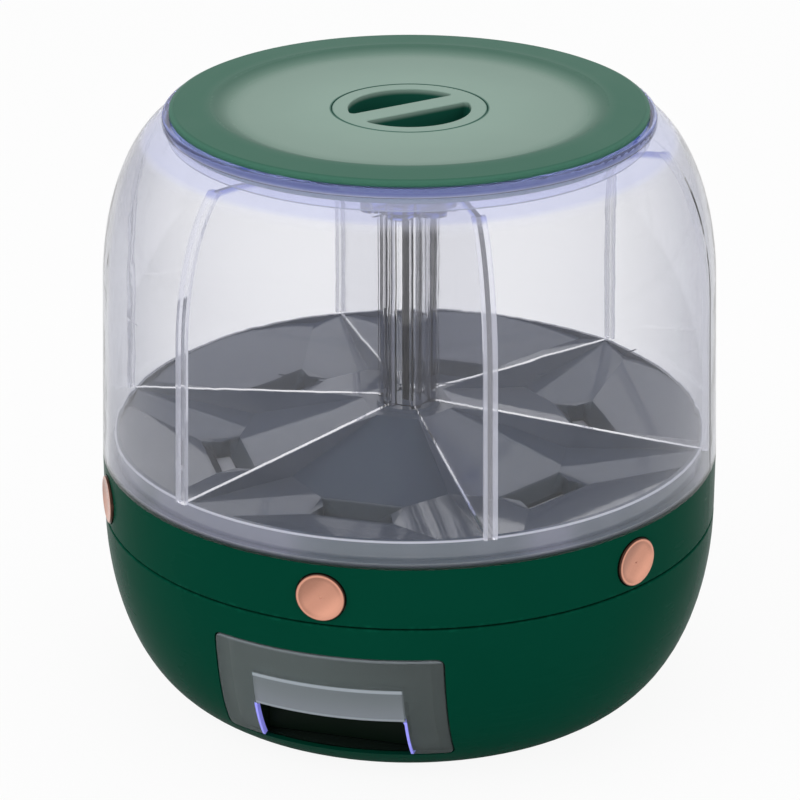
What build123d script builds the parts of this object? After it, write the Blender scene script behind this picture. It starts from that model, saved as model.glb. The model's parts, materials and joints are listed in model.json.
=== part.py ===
from build123d import *
import os
from math import asin, atan, cos, degrees, radians, sin, sqrt

# Rotating grain dispenser, in millimetres, standing on z = 0 with +Z up.
# The drawer faces -Y and the first divider lies along +X.

# Overall form
compartments = 6
body_radius = 155.0
bowl_bulge = 45.6
foot_height = 2.5
base_height = 92.0
seam_gap = 0.8
ring_height = 30.7
wall_rise = 92.0
wall_draft = 3.2
shoulder_width = 42.2
shoulder_rise = 88.0

# Clearances
slide_gap = 0.3
seat_gap = 0.2
running_gap = 0.05
panel_gap = 0.8

# Clear bin
bin_wall = 2.6
rim_inset = 34.4
mouth_height = 174.6
rim_round = 1.6
rim_width = 6.6
neck_wall = 2.4
neck_depth = 12.0

# Dividers and centre column
divider_thickness = 2.4
divider_top_drop = 12.2
bead_width = 6.6
bead_depth = 2.0
divider_step_radius = 60.0
column_tube_radius = 12.2
column_tube_wall = 2.0
column_rib_reach = 15.8
column_rib_wall = 1.7
column_height = 103.0
rod_radius = 3.5
rod_head_radius = 7.0
rod_head_height = 4.0
hex_sides = 6
rod_end_length = 2.0
nut_height = 10.0
nut_lobes = 6
nut_lobe_circle = 18.0
nut_lobe_radius = 7.0
nut_round = 1.5

# Hopper floor
hopper_wall = 2.2
hopper_rim_height = 12.0
hopper_rim_wall = 2.6
hopper_lip_height = 2.2
hub_rise = 23.0
hub_radius = 17.0
hub_depth = 9.0
rib_thickness = 3.2
throat_drop = 5.0
outlet_inset = 61.0
outlet_length = 8.0
outlet_width = 34.0
well_rise = 6.5
well_margin = 6.0
well_flare = 4.0

# Shutters
gate_thickness = 2.0
gate_land = 1.0
gate_margin = 3.0
gate_bar = 3.5
gate_lug_width = 12.0
gate_rail_wall = 2.0
gate_rail_lip = 1.9
gate_rail_bearing = 2.4
gate_rail_lead = 9.0

# Push buttons
button_radius = 12.25
button_drop = 16.5
button_proud = 1.2
button_round = 1.0
button_dish_radius = 10.4
button_dish_depth = 0.9
button_gap = 0.35
button_flange_reach = 1.15
button_flange_thickness = 2.6
stem_radius = 4.0
spring_radius = 6.0
spring_wire = 1.2

# Green ring
ring_wall = 2.8
ring_flange = 2.6
ring_flange_reach = 6.0
seam_round = 0.8
boss_radius = 4.5
boss_inset = 12.0
boss_height = 14.0
web_thickness = 4.0

# Turntable plate and ball race
plate_drop = 2.0
plate_thickness = 2.7
plate_inset = 6.0
post_inset = 27.0
post_thickness = 3.0
post_width = 18.0
post_margin = 3.5
spout_wall = 1.6
spout_allowance = 3.0
spout_gap = 0.6
spout_room = 3.0
spout_flange = 1.5
spout_flange_reach = 2.5
race_inset = 27.0
ball_count = 18
ball_radius = 3.2
race_gap = 0.15
cage_width = 11.0
cage_thickness = 1.5

# Pivot
pivot_radius = 8.0
pivot_height = 12.0
pivot_hub_wall = 6.0
washer_reach = 4.0
washer_thickness = 1.5
pivot_head_radius = 5.5
pivot_head_height = 3.4

# Screws
screw_radius = 1.5
screw_length = 9.0
screw_head_radius = 3.2
screw_head_height = 1.6
screw_gap = 0.1

# Base bowl and deck
bowl_wall = 2.8
lip_height = 1.2
lip_width = 2.0
lip_gap = 0.8
ledge_width = 10.0
ledge_thickness = 3.0
deck_thickness = 3.5
deck_drop = 2.5
deck_screw_inset = 4.5
chute_allowance = 2.0
chute_wall = 2.0
chute_drop = 22.0
foot_count = 6
foot_radius = 9.0
foot_inset = 21.4
foot_recess = 1.2
foot_bevel = 0.6

# Drawer
panel_width = 113.0
panel_low = 18.0
panel_high = 78.0
panel_wall = 3.0
panel_round = 3.0
pull_width = 74.0
pull_height = 24.0
pull_round = 2.5
pocket_rise = 17.0
pocket_wall = 2.0
box_wall = 2.0
box_corner_gap = 1.09
box_length = 63.5
box_inset = 8.5
box_height = 43.0
box_round = 6.0
box_floor_gap = 0.4
sleeve_wall = 2.0
sleeve_leg_radius = 5.0
sleeve_leg_inset = 9.0
sleeve_leg_spacing = 25.0

# Lid and twist grip
lid_inset = 3.6
lid_edge = 1.9
lid_band_height = 3.5
lid_bevel = 2.4
lid_wall = 2.2
lid_band_width = 21.0
dish_slope = 8.0
dish_depth = 3.1
dish_round = 6.0
edge_round = 1.0
lid_skirt_wall = 2.6
lid_skirt_drop = 9.5
seal_height = 3.2
seal_depth = 1.7
seal_skirt_offset = 3.0
grip_radius = 38.0
grip_flange = 2.2
grip_rebate = 2.4
grip_collar_wall = 3.0
grip_collar_drop = 7.0
grip_cup_depth = 13.0
grip_pocket_radius = 30.0
grip_pocket_depth = 11.0
grip_pocket_round = 2.0
grip_edge_round = 0.6
grip_bar_width = 12.8
grip_bar_angle = 47.5
grip_lugs = 3
lug_width = 14.0
lug_height = 2.0
lug_reach = 2.0
lug_notch_turn = 45.0

# Heights worked out from the sizes above
seam_z = foot_height + base_height
ring_bottom_z = seam_z + seam_gap
ring_top_z = ring_bottom_z + ring_height
wall_top_z = ring_top_z + wall_rise
rim_top_z = ring_top_z + mouth_height
divider_top_z = rim_top_z - divider_top_drop
hopper_rim_z = ring_top_z + hopper_rim_height
hub_z = ring_top_z + hub_rise
column_top_z = hub_z + column_height
throat_z = ring_top_z - throat_drop
gate_top_z = throat_z - hopper_wall - slide_gap
gate_bottom_z = gate_top_z - gate_thickness
rail_low_z = gate_bottom_z - slide_gap - gate_rail_lip
button_z = ring_top_z - button_drop
plate_bottom_z = ring_bottom_z + plate_drop
plate_top_z = plate_bottom_z + plate_thickness
post_top_z = button_z + stem_radius + post_margin
deck_top_z = seam_z - deck_drop
deck_bottom_z = deck_top_z - deck_thickness
ball_z = (deck_top_z + plate_bottom_z) / 2
pivot_top_z = deck_top_z + pivot_height
washer_top_z = pivot_top_z + washer_thickness
box_low = panel_low + box_floor_gap
sleeve_floor_top = box_low - box_floor_gap
sleeve_floor_z = sleeve_floor_top - sleeve_wall
bowl_floor_z = foot_height + bowl_wall
lid_seat_z = rim_top_z + slide_gap
dish_z = lid_seat_z + lid_band_height - dish_depth
lid_under_z = dish_z - lid_wall

# Radii and lengths worked out from the sizes above
sector = 360.0 / compartments
half_sector = radians(sector / 2)
wall_slope = wall_draft / wall_rise
shoulder_start = atan(wall_slope * shoulder_rise / shoulder_width)
shoulder_axis_radius = body_radius - wall_draft - shoulder_width * cos(shoulder_start)
shoulder_axis_z = wall_top_z - shoulder_rise * sin(shoulder_start)
bottom_radius = body_radius - bowl_bulge
rim_radius = body_radius - rim_inset
neck_radius = rim_radius - rim_width
lid_radius = rim_radius - lid_inset
dish_rim = lid_radius - lid_band_width
dish_radius = dish_rim - dish_slope
outlet_radius = body_radius - outlet_inset
post_radius = body_radius - post_inset
race_radius = body_radius - race_inset
foot_circle = bottom_radius - foot_inset
box_width = panel_width - 2 * box_inset
box_drop = (seam_z - box_low) / (base_height - bowl_wall)
box_corner = bottom_radius + (bowl_bulge - bowl_wall) * sqrt(1 - box_drop**2) - box_corner_gap
box_front = sqrt(box_corner**2 - (box_width / 2) ** 2)
box_back = box_front - box_length
ring_inside = body_radius - ring_wall
flange_inside = body_radius - ring_flange_reach
hopper_radius = flange_inside - seat_gap
hopper_inside = hopper_radius - hopper_rim_wall
hopper_lip_radius = body_radius - bin_wall - 2 * seat_gap
outlet_inner = outlet_radius - outlet_length / 2
outlet_outer = outlet_radius + outlet_length / 2
press_travel = outlet_length + gate_land
gate_width = outlet_width + 2 * gate_margin
gate_inner = outlet_inner - gate_margin - gate_land
gate_window_inner = outlet_outer + gate_land
gate_window_outer = gate_window_inner + outlet_length
gate_outer = gate_window_outer + gate_bar
flange_reach = button_radius + button_flange_reach
flange_front = sqrt(ring_inside**2 - flange_reach**2) - slide_gap
flange_back = flange_front - button_flange_thickness
plate_radius = body_radius - plate_inset
boss_circle = body_radius - boss_inset
spring_seat = post_radius + post_thickness
lip_outer = ring_inside - lip_gap
lip_inner = lip_outer - lip_width
ledge_inner = lip_inner - ledge_width
deck_radius = lip_inner - seat_gap
deck_screw_circle = deck_radius - deck_screw_inset
skirt_outer = neck_radius - seal_depth
seal_inner = skirt_outer - seal_depth
seal_outer = neck_radius - slide_gap
grip_cup_radius = grip_radius - grip_collar_wall + slide_gap
grip_hole = grip_cup_radius + slide_gap

quarter_turn = 90.0
front = -quarter_turn
divider_angles = [sector * index for index in range(compartments)]
button_angles = [front + sector * index for index in range(compartments)]


def level_plane(angle, height):
    """Horizontal plane with its x axis pointing outward at an angle."""
    outward = (cos(radians(angle)), sin(radians(angle)), 0)
    return Plane(origin=(0, 0, height), x_dir=outward, z_dir=(0, 0, 1))


def upright_plane(angle):
    """Vertical plane through the axis, with radius along x and height along y."""
    turn = radians(angle)
    return Plane(origin=(0, 0, 0), x_dir=(cos(turn), sin(turn), 0), z_dir=(sin(turn), -cos(turn), 0))


def facing_plane(angle, radius, height):
    """Vertical plane that faces outward at a radius and a height."""
    turn = radians(angle)
    outward = (cos(turn), sin(turn), 0)
    place = (radius * outward[0], radius * outward[1], height)
    return Plane(origin=place, x_dir=(-sin(turn), cos(turn), 0), z_dir=outward)


def wall_curve(inset, low, high):
    """Line and arc of the bin's side, inset from its outside, between two heights."""
    width = shoulder_width - inset
    rise = shoulder_rise - inset
    bend_radius = shoulder_axis_radius + width * cos(shoulder_start)
    bend_z = shoulder_axis_z + rise * sin(shoulder_start)
    foot = (bend_radius + wall_slope * (bend_z - low), low)
    side = Line(foot, (bend_radius, bend_z))
    turn = degrees(asin((high - shoulder_axis_z) / rise) - shoulder_start)
    shoulder = EllipticalCenterArc(
        (shoulder_axis_radius, shoulder_axis_z), width, rise, degrees(shoulder_start), arc_size=turn
    )
    return side, shoulder


def shoulder_z(radius, inset):
    """Height of the bin's shoulder at a radius."""
    share = (radius - shoulder_axis_radius) / (shoulder_width - inset)
    return shoulder_axis_z + (shoulder_rise - inset) * sqrt(1 - share**2)


def bowl_curve(inset, high):
    """Arc of the bowl's side, inset from its outside, from its bottom up to a height."""
    centre = (bottom_radius, seam_z)
    sweep = quarter_turn - degrees(asin((seam_z - high) / (base_height - inset)))
    return EllipticalCenterArc(centre, bowl_bulge - inset, base_height - inset, -quarter_turn, arc_size=sweep)


def ridge_z(radius):
    """Height of the hopper's ribs at a radius."""
    fall = (hub_z - hopper_rim_z) / (hopper_radius - hub_radius)
    return hub_z - fall * max(radius - hub_radius, 0)


def save(piece, name):
    """Label a piece and write it to its own file."""
    piece.part.label = name
    export_step(piece.part, f"parts/{name}.step")


os.makedirs("parts", exist_ok=True)

# Lid: a dished disc with a skirt that enters the neck and a collar for the grip
band_z = lid_seat_z + lid_band_height
skirt_low = lid_seat_z - lid_skirt_drop
skirt_inner = skirt_outer - lid_skirt_wall - seal_depth
seal_top = lid_seat_z - seal_skirt_offset
seal_low = seal_top - seal_height
collar_radius = grip_radius + slide_gap + grip_collar_wall
collar_low = dish_z - grip_collar_drop
with BuildPart() as lid:
    with BuildSketch(Plane.XZ):
        with BuildLine():
            top = FilletPolyline(
                (lid_radius, lid_seat_z),
                (lid_radius, lid_seat_z + lid_edge),
                (lid_radius - lid_bevel, band_z - edge_round / 2),
                (dish_rim, band_z),
                (dish_radius, dish_z),
                (collar_radius, dish_z),
                radius=(edge_round, edge_round, dish_round, dish_round),
            )
            Polyline(
                top @ 1,
                (grip_radius + slide_gap, dish_z),
                (grip_radius + slide_gap, dish_z - grip_rebate),
                (grip_hole, dish_z - grip_rebate),
                (grip_hole, collar_low),
                (collar_radius, collar_low),
                (collar_radius, lid_under_z),
                (dish_radius + lid_wall / 2, lid_under_z),
                (dish_rim + lid_wall / 2, band_z - lid_wall),
                (skirt_inner, band_z - lid_wall),
                (skirt_inner, skirt_low),
                (skirt_outer, skirt_low),
                (skirt_outer, seal_low),
                (seal_inner, seal_low),
                (seal_inner, seal_top),
                (skirt_outer, seal_top),
                (skirt_outer, lid_seat_z),
                (lid_radius, lid_seat_z),
            )
        make_face()
    revolve(axis=Axis.Z)
    notch_width = lug_width + 2 * slide_gap
    notch_reach = grip_cup_radius + lug_reach + slide_gap
    notch_turn = grip_bar_angle + lug_notch_turn
    with BuildSketch(level_plane(notch_turn, collar_low)):
        with PolarLocations(0, grip_lugs):
            with Locations((notch_reach / 2, 0)):
                Rectangle(notch_reach, notch_width)
    extrude(amount=grip_collar_drop - grip_rebate, mode=Mode.SUBTRACT)
save(lid, "lid")

with BuildPart() as lid_seal:
    with BuildSketch(Plane.XZ):
        seal_middle = (seal_inner + seat_gap + seal_outer) / 2
        with Locations((seal_middle, (seal_low + seal_top) / 2)):
            Rectangle(seal_outer - seal_inner - seat_gap, seal_height - 2 * seat_gap)
    revolve(axis=Axis.Z)
save(lid_seal, "lid_seal")

# Twist grip: a shallow cup with two half-moon finger pockets and bayonet lugs
with BuildPart() as grip_cap:
    with BuildSketch(level_plane(grip_bar_angle, dish_z - grip_flange)):
        Circle(grip_radius)
    extrude(amount=grip_flange)
    with BuildSketch(level_plane(grip_bar_angle, dish_z - grip_cup_depth)):
        Circle(grip_cup_radius)
    extrude(amount=grip_cup_depth)
    lug_top = collar_low - slide_gap
    with BuildSketch(level_plane(grip_bar_angle, lug_top - lug_height)):
        with PolarLocations(0, grip_lugs):
            with Locations(((grip_cup_radius + lug_reach) / 2, 0)):
                Rectangle(grip_cup_radius + lug_reach, lug_width)
        Circle(grip_cup_radius + lug_reach, mode=Mode.INTERSECT)
    extrude(amount=lug_height)
    with BuildSketch(level_plane(grip_bar_angle, dish_z)) as pocket_outline:
        Circle(grip_pocket_radius)
        Rectangle(2 * grip_pocket_radius, grip_bar_width, mode=Mode.SUBTRACT)
        fillet(pocket_outline.vertices(), grip_pocket_round)
    extrude(amount=-grip_pocket_depth, mode=Mode.SUBTRACT)
    top_edges = grip_cap.edges().group_by(Axis.Z)[-1]
    fillet(top_edges, grip_edge_round)
save(grip_cap, "grip_cap")

# Clear bin: drafted wall, domed shoulder, rim flange and neck
rim_foot_z = shoulder_z(rim_radius, 0)
neck_low = rim_top_z - neck_depth
with BuildPart() as bin_shell:
    with BuildSketch(Plane.XZ):
        with BuildLine():
            outer_side, outer_shoulder = wall_curve(0, ring_top_z, rim_foot_z)
            Polyline(
                outer_shoulder @ 1,
                (rim_radius, rim_top_z),
                (neck_radius, rim_top_z),
                (neck_radius, neck_low),
                (neck_radius + neck_wall, neck_low),
                (neck_radius + neck_wall, shoulder_z(neck_radius + neck_wall, bin_wall)),
            )
            inner_side, inner_shoulder = wall_curve(
                bin_wall, ring_top_z, shoulder_z(neck_radius + neck_wall, bin_wall)
            )
            Line(outer_side @ 0, inner_side @ 0)
        make_face()
    revolve(axis=Axis.Z)
    rim_edges = bin_shell.edges().group_by(Axis.Z)[-1]
    fillet(rim_edges.sort_by(SortBy.RADIUS)[-1], rim_round)
save(bin_shell, "bin_shell")

# Dividers: plates with a beaded outer edge, each standing on a rib of the hopper
bead_inset = bin_wall + seat_gap
slot_radius = column_tube_radius + seat_gap
step_radius = nut_lobe_circle + nut_lobe_radius + slide_gap
for index, angle in enumerate(divider_angles):
    with BuildPart() as divider:
        low_z = ridge_z(hopper_radius) + seat_gap
        with BuildSketch(upright_plane(angle)):
            with BuildLine():
                side, shoulder = wall_curve(bead_inset, low_z, divider_top_z)
                top_line = Line(shoulder @ 1, (divider_step_radius, divider_top_z))
                scoop = EllipticalCenterArc(
                    (divider_step_radius, column_top_z),
                    divider_step_radius - step_radius,
                    divider_top_z - column_top_z,
                    quarter_turn,
                    arc_size=quarter_turn,
                )
                Polyline(
                    scoop @ 1,
                    (slot_radius, column_top_z),
                    (slot_radius, hub_z + seat_gap),
                    (hub_radius, hub_z + seat_gap),
                    (hopper_radius, low_z),
                    side @ 0,
                )
            make_face()
        extrude(amount=divider_thickness / 2, both=True)
        with BuildSketch(upright_plane(angle)):
            with BuildLine():
                outer_side, outer_shoulder = wall_curve(bead_inset, low_z, divider_top_z)
                inner_side, inner_shoulder = wall_curve(bead_inset + bead_depth, low_z, divider_top_z)
                Line(outer_side @ 0, inner_side @ 0)
                Line(outer_shoulder @ 1, inner_shoulder @ 1)
            make_face()
        extrude(amount=bead_width / 2, both=True)
    save(divider, f"divider_{index + 1}")

# Centre column: a tube with a pair of ribs for each divider
channel = divider_thickness + 2 * seat_gap
with BuildPart() as centre_column:
    with BuildSketch(Plane.XY.offset(hub_z)):
        Circle(column_tube_radius)
        rib_root = column_tube_radius - column_tube_wall / 2
        rib_offset = (channel + column_rib_wall) / 2
        with PolarLocations((rib_root + column_rib_reach) / 2, compartments):
            with Locations((0, rib_offset), (0, -rib_offset)):
                Rectangle(column_rib_reach - rib_root, column_rib_wall)
        Circle(column_tube_radius - column_tube_wall, mode=Mode.SUBTRACT)
    extrude(amount=column_height)
save(centre_column, "centre_column")

# Tie rod from under the hopper's hub to the nut on top of the column
rod_seat_z = hub_z - hub_depth
with BuildPart() as tie_rod:
    with BuildSketch(Plane.XY.offset(rod_seat_z - rod_head_height)):
        RegularPolygon(rod_head_radius, hex_sides)
    extrude(amount=rod_head_height)
    with BuildSketch(Plane.XY.offset(rod_seat_z)):
        Circle(rod_radius)
    extrude(amount=column_top_z + nut_height + rod_end_length - rod_seat_z)
save(tie_rod, "tie_rod")

with BuildPart() as tie_nut:
    with BuildSketch(Plane.XY.offset(column_top_z)):
        Circle(nut_lobe_circle)
        with PolarLocations(nut_lobe_circle, nut_lobes, start_angle=sector / 2):
            Circle(nut_lobe_radius)
    extrude(amount=nut_height)
    fillet(tie_nut.edges().group_by(Axis.Z)[-1], nut_round)
    with BuildSketch(Plane.XY.offset(column_top_z)):
        Circle(rod_radius + seat_gap)
    extrude(amount=nut_height, mode=Mode.SUBTRACT)
save(tie_nut, "tie_nut")

# Hopper: six faceted funnels between upright ribs, with a rim, a hub and shutter rails
mouth_z = throat_z + well_rise
mouth_length = outlet_length + 2 * well_margin
mouth_width = outlet_width + 2 * well_flare
mouth_outer = outlet_radius + mouth_length / 2
funnel_rise = hub_z - mouth_z
rim_share = funnel_rise / (hopper_rim_z - mouth_z)
funnel_inner = hub_radius * cos(half_sector)
funnel_outer = mouth_outer + (hopper_inside - mouth_outer) * rim_share
rib_reach = hopper_inside * sin(half_sector)
funnel_half = mouth_width / 2 + (rib_reach - mouth_width / 2) * rim_share


def funnel(growth, drop, wedge_inset, radius):
    """One sector's funnel as a solid, grown and lowered by a wall thickness."""
    low_z = mouth_z - drop
    with BuildPart() as solid:
        with BuildSketch(level_plane(front, low_z)):
            with Locations((outlet_radius, 0)):
                Rectangle(mouth_length + 2 * growth, mouth_width + 2 * growth)
        with BuildSketch(level_plane(front, low_z + funnel_rise)):
            with Locations(((funnel_inner + funnel_outer) / 2, 0)):
                Rectangle(funnel_outer - funnel_inner + 2 * growth, 2 * (funnel_half + growth))
        loft(ruled=True)
        with BuildSketch(level_plane(front, low_z)):
            tip = wedge_inset / sin(half_sector)
            reach = 2 * body_radius
            Polygon(
                (tip, 0),
                (tip + reach * cos(half_sector), reach * sin(half_sector)),
                (tip + reach * cos(half_sector), -reach * sin(half_sector)),
                align=None,
            )
            Circle(radius, mode=Mode.INTERSECT)
        extrude(amount=funnel_rise + drop, mode=Mode.INTERSECT)
    return solid.part


def well(growth, drop):
    """The steep well under a funnel: a slot below, and a mouth above that flares at its corners."""
    middle = outlet_width / 2 + growth
    with BuildPart() as solid:
        for height, half_length, half_width in (
            (throat_z - drop, outlet_length / 2 + growth, middle),
            (mouth_z, mouth_length / 2 + growth, mouth_width / 2 + growth),
        ):
            with BuildSketch(level_plane(front, height)):
                with Locations((outlet_radius, 0)):
                    Polygon(
                        (-half_length, half_width),
                        (0, middle),
                        (half_length, half_width),
                        (half_length, -half_width),
                        (0, -middle),
                        (-half_length, -half_width),
                        align=None,
                    )
        loft(ruled=True)
    return solid.part


funnel_walls = funnel(hopper_wall, hopper_wall, 0, hopper_radius)
funnel_space = funnel(0, 0, rib_thickness / 2, hopper_inside)
well_walls = well(hopper_wall, hopper_wall)
well_space = well(0, 0)
rail_offset = gate_width / 2 + slide_gap + gate_rail_wall / 2
rail_outer = gate_outer + slide_gap
rail_inner = gate_inner - gate_rail_lead
rail_middle = (rail_inner + rail_outer) / 2
lip_reach = slide_gap + gate_rail_bearing
lip_offset = gate_width / 2 + slide_gap - lip_reach / 2
with BuildPart() as hopper:
    with PolarLocations(0, compartments):
        add(funnel_walls)
        add(well_walls)
    with BuildSketch(Plane.XZ):
        Polygon(
            (0, throat_z - hopper_wall),
            (hopper_radius, throat_z - hopper_wall),
            (hopper_radius, hopper_rim_z),
            (hub_radius, hub_z),
            (0, hub_z),
            align=None,
        )
    revolve(axis=Axis.Z, mode=Mode.INTERSECT)
    with BuildSketch(Plane.XZ):
        Polygon(
            (hopper_inside, ring_top_z - ring_flange),
            (hopper_radius, ring_top_z - ring_flange),
            (hopper_radius, ring_top_z),
            (hopper_lip_radius, ring_top_z),
            (hopper_lip_radius, ring_top_z + hopper_lip_height),
            (hopper_radius, ring_top_z + hopper_lip_height),
            (hopper_radius, hopper_rim_z),
            (hopper_inside, hopper_rim_z),
            align=None,
        )
    revolve(axis=Axis.Z)
    with BuildSketch(Plane.XY.offset(rail_low_z)):
        with PolarLocations(0, compartments, start_angle=front):
            with Locations((rail_middle, rail_offset), (rail_middle, -rail_offset)):
                Rectangle(rail_outer - rail_inner, gate_rail_wall)
    extrude(amount=hopper_rim_z - rail_low_z)
    with BuildSketch(Plane.XY.offset(rail_low_z)):
        with PolarLocations(0, compartments, start_angle=front):
            with Locations((rail_middle, lip_offset), (rail_middle, -lip_offset)):
                Rectangle(rail_outer - rail_inner, lip_reach)
    extrude(amount=gate_rail_lip)
    with PolarLocations(0, compartments):
        add(funnel_space, mode=Mode.SUBTRACT)
        add(well_space, mode=Mode.SUBTRACT)
    with BuildSketch(Plane.XY.offset(throat_z)):
        with PolarLocations(outlet_radius, compartments, start_angle=front):
            Rectangle(outlet_length, outlet_width)
    extrude(amount=-2 * hopper_wall, mode=Mode.SUBTRACT)
    with BuildSketch(Plane.XY.offset(hub_z)):
        Circle(hub_radius)
    extrude(amount=-hub_depth)
    with BuildSketch(Plane.XY.offset(hub_z)):
        Circle(rod_radius + seat_gap)
    extrude(amount=-hub_depth, mode=Mode.SUBTRACT)
save(hopper, "hopper")

# Green ring: outer wall, top flange, button holes and bosses for the plate's screws
pilot_radius = screw_radius + screw_gap
with BuildPart() as button_ring:
    with BuildSketch(Plane.XZ):
        Polygon(
            (body_radius, ring_bottom_z),
            (body_radius, ring_top_z),
            (flange_inside, ring_top_z),
            (flange_inside, ring_top_z - ring_flange),
            (ring_inside, ring_top_z - ring_flange),
            (ring_inside, ring_bottom_z),
            align=None,
        )
    revolve(axis=Axis.Z)
    fillet(button_ring.edges().group_by(Axis.Z)[0].sort_by(SortBy.RADIUS)[-1], seam_round)
    with BuildSketch(Plane.XY.offset(plate_top_z)):
        with PolarLocations(boss_circle, compartments):
            Circle(boss_radius)
        with PolarLocations((boss_circle + ring_inside + ring_wall / 2) / 2, compartments):
            Rectangle(ring_inside + ring_wall / 2 - boss_circle, web_thickness)
    extrude(amount=boss_height)
    with BuildSketch(Plane.XY.offset(plate_top_z)):
        with PolarLocations(boss_circle, compartments):
            Circle(pilot_radius)
    extrude(amount=screw_length, mode=Mode.SUBTRACT)
    for angle in button_angles:
        with BuildSketch(facing_plane(angle, flange_back, button_z)):
            Circle(button_radius + button_gap)
        extrude(amount=body_radius - flange_back + button_proud, mode=Mode.SUBTRACT)
save(button_ring, "button_ring")

# Turntable plate: screwed into the ring, with a window for each spout, stem guides and a ball race
spout_length = outlet_length + 2 * spout_allowance
spout_width = outlet_width + 2 * spout_allowance
spout_low_z = deck_top_z + spout_gap
spout_top_z = button_z - stem_radius - 2 * slide_gap
window_length = spout_length + 2 * (spout_wall + spout_room)
window_width = spout_width + 2 * (spout_wall + spout_room)
plate_notch_inner = flange_back - press_travel - slide_gap
with BuildPart() as turntable_plate:
    with BuildSketch(Plane.XY.offset(plate_bottom_z)):
        Circle(plate_radius)
        with PolarLocations((plate_notch_inner + body_radius) / 2, compartments, start_angle=front):
            Rectangle(body_radius - plate_notch_inner, 2 * (flange_reach + slide_gap), mode=Mode.SUBTRACT)
        with PolarLocations(outlet_radius, compartments, start_angle=front):
            Rectangle(window_length, window_width, mode=Mode.SUBTRACT)
    extrude(amount=plate_thickness)
    with BuildSketch(Plane.XY.offset(plate_top_z)):
        with PolarLocations(post_radius + post_thickness / 2, compartments, start_angle=front):
            Rectangle(post_thickness, post_width)
    extrude(amount=post_top_z - plate_top_z)
    for angle in button_angles:
        with BuildSketch(facing_plane(angle, post_radius, button_z)):
            Circle(stem_radius + slide_gap)
        extrude(amount=post_thickness, mode=Mode.SUBTRACT)
    with BuildSketch(Plane.XY.offset(plate_bottom_z)):
        Circle(pivot_radius + pivot_hub_wall)
    extrude(amount=pivot_top_z - slide_gap - plate_bottom_z)
    with BuildSketch(Plane.XY.offset(plate_bottom_z)):
        Circle(pivot_radius + running_gap)
        with PolarLocations(boss_circle, compartments):
            Circle(pilot_radius)
    extrude(amount=pivot_height, mode=Mode.SUBTRACT)
    with Locations((0, 0, ball_z)):
        Torus(race_radius, ball_radius + race_gap, mode=Mode.SUBTRACT)
save(turntable_plate, "turntable_plate")

# Drop spouts: a tube in each window of the plate, hung by its flange
for index, angle in enumerate(button_angles):
    with BuildPart() as spout:
        with BuildSketch(level_plane(angle, spout_low_z)):
            with Locations((outlet_radius, 0)):
                Rectangle(spout_length + 2 * spout_wall, spout_width + 2 * spout_wall)
        extrude(amount=spout_top_z - spout_low_z)
        with BuildSketch(level_plane(angle, plate_top_z)):
            with Locations((outlet_radius, 0)):
                Rectangle(window_length + 2 * spout_flange_reach, window_width + 2 * spout_flange_reach)
        extrude(amount=spout_flange)
        with BuildSketch(level_plane(angle, spout_low_z)):
            with Locations((outlet_radius, 0)):
                Rectangle(spout_length, spout_width)
        extrude(amount=spout_top_z - spout_low_z, mode=Mode.SUBTRACT)
    save(spout, f"spout_{index + 1}")

with BuildPart() as plate_screws:
    with BuildSketch(Plane.XY.offset(plate_bottom_z - screw_head_height)):
        with PolarLocations(boss_circle, compartments):
            Circle(screw_head_radius)
    extrude(amount=screw_head_height)
    with BuildSketch(Plane.XY.offset(plate_bottom_z)):
        with PolarLocations(boss_circle, compartments):
            Circle(screw_radius)
    extrude(amount=screw_length)
save(plate_screws, "plate_screws")

# Buttons, shutters and springs, one of each for every compartment
dish_ball = (button_dish_radius**2 + button_dish_depth**2) / (2 * button_dish_depth)
dish_centre = body_radius + button_proud - button_dish_depth + dish_ball
for index, angle in enumerate(button_angles):
    number = index + 1
    with BuildPart() as button:
        with BuildSketch(facing_plane(angle, flange_back, button_z)):
            Circle(flange_reach)
        extrude(amount=button_flange_thickness)
        with BuildSketch(facing_plane(angle, flange_front, button_z)):
            Circle(button_radius)
        extrude(amount=body_radius + button_proud - flange_front)
        crown = button.faces().sort_by(Axis((0, 0, 0), facing_plane(angle, 0, 0).z_dir))[-1]
        fillet(crown.edges(), button_round)
        with Locations(facing_plane(angle, dish_centre, button_z)):
            Sphere(dish_ball, mode=Mode.SUBTRACT)
        with BuildSketch(facing_plane(angle, gate_outer, button_z)):
            Circle(stem_radius)
        extrude(amount=flange_back - gate_outer)
    save(button, f"button_{number}")

    with BuildPart() as gate:
        with BuildSketch(level_plane(angle, gate_bottom_z)):
            with Locations(((gate_inner + gate_outer) / 2, 0)):
                Rectangle(gate_outer - gate_inner, gate_width)
            with Locations(((gate_window_inner + gate_window_outer) / 2, 0)):
                Rectangle(outlet_length, outlet_width, mode=Mode.SUBTRACT)
        extrude(amount=gate_thickness)
        with BuildSketch(level_plane(angle, button_z - stem_radius)):
            with Locations((gate_outer - gate_bar / 2, 0)):
                Rectangle(gate_bar, gate_lug_width)
        extrude(amount=gate_bottom_z - button_z + stem_radius)
    save(gate, f"gate_{number}")

    with BuildPart() as spring:
        with BuildSketch(facing_plane(angle, spring_seat, button_z)):
            Circle(spring_radius)
            Circle(spring_radius - spring_wire, mode=Mode.SUBTRACT)
        extrude(amount=flange_back - spring_seat)
    save(spring, f"spring_{number}")

# Ball race between the turntable plate and the deck
with BuildPart() as bearing_cage:
    with BuildSketch(Plane.XY.offset(ball_z - cage_thickness / 2)):
        Circle(race_radius + cage_width / 2)
        Circle(race_radius - cage_width / 2, mode=Mode.SUBTRACT)
        with PolarLocations(race_radius, ball_count):
            Circle(ball_radius + race_gap, mode=Mode.SUBTRACT)
    extrude(amount=cage_thickness)
save(bearing_cage, "bearing_cage")

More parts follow.
